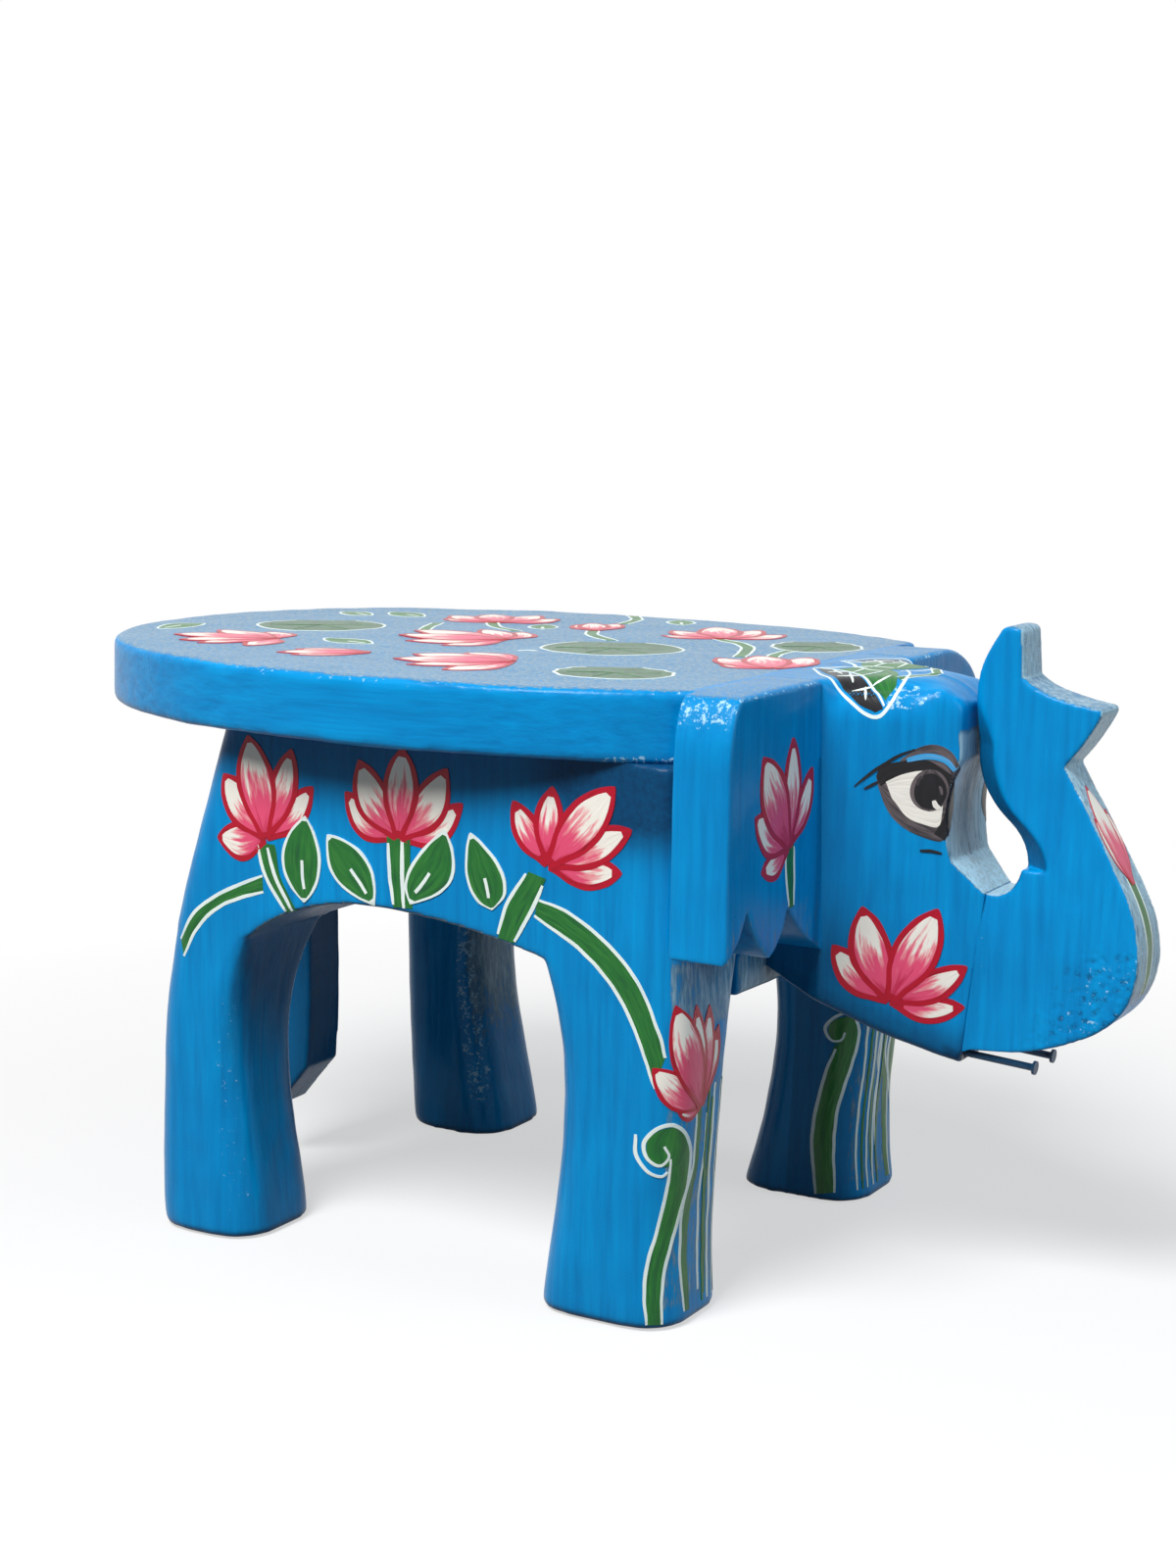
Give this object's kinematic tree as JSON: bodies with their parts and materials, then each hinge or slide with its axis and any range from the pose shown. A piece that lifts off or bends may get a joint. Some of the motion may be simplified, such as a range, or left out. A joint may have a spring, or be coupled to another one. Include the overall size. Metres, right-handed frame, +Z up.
{
  "type": "carved elephant stool",
  "caption": "Low painted wooden stool shaped as an elephant, with an oval seat, four flared legs, scalloped ears, a raised looping trunk and nail tusks.",
  "frame": {"origin": "on the ground, under the middle of the overall length and width", "axes": "+X points the way the elephant faces, +Y to its left flank, +Z up"},
  "size_m": [0.3412, 0.203, 0.1955],
  "materials": {
    "painted_wood": "glossy cyan-blue enamel brushed over carved wood, with painted lotus flowers and leaves",
    "peg_wood": "bare sawn wood, sealed inside the joints",
    "painted_nail": "steel wire nail painted over in blue"
  },
  "bodies": {
    "root": {"seat_board": "painted_wood", "body_core": "painted_wood", "right_flank": "painted_wood", "left_flank": "painted_wood", "right_ear": "painted_wood", "left_ear": "painted_wood", "right_head_half": "painted_wood", "left_head_half": "painted_wood", "trunk_board": "painted_wood", "tail_board": "painted_wood", "seat_pegs": "peg_wood", "flank_pegs": "peg_wood", "ear_pegs": "peg_wood", "head_pegs": "peg_wood", "trunk_pegs": "peg_wood", "tail_pegs": "peg_wood", "right_tusk_nail": "painted_nail", "left_tusk_nail": "painted_nail"}
  },
  "joints": []
}
